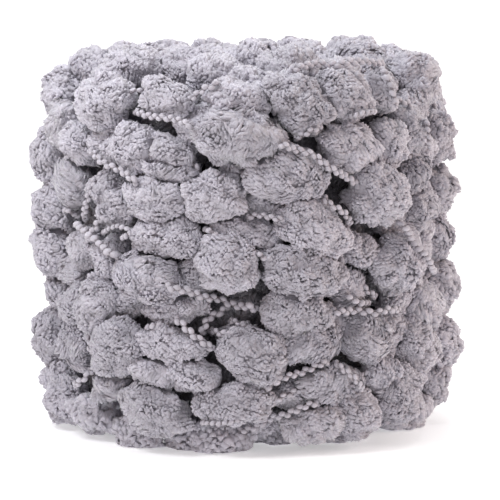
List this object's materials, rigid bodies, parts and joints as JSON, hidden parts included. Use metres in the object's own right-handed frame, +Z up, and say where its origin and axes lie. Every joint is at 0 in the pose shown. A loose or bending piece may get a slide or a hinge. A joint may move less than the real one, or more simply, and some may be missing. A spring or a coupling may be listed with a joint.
{
  "type": "pompom cotton yarn ball",
  "caption": "Squat drum-shaped ball of cotton pompom yarn, fat fuzzy oval pompoms on a thin twisted core strand, lavender grey, standing on its flat foot",
  "frame": {"origin": "the middle of the flat spot under the foot, on the surface that the ball stands on", "axes": "+Z up along the winding axis, -Y towards the side that the picture shows, +X to its right"},
  "size_m": [0.1537, 0.1541, 0.1371],
  "materials": {
    "yarn": "short fuzzy matt pile in soft lavender grey"
  },
  "bodies": {
    "root": {"wound_ball": "yarn"}
  },
  "joints": []
}
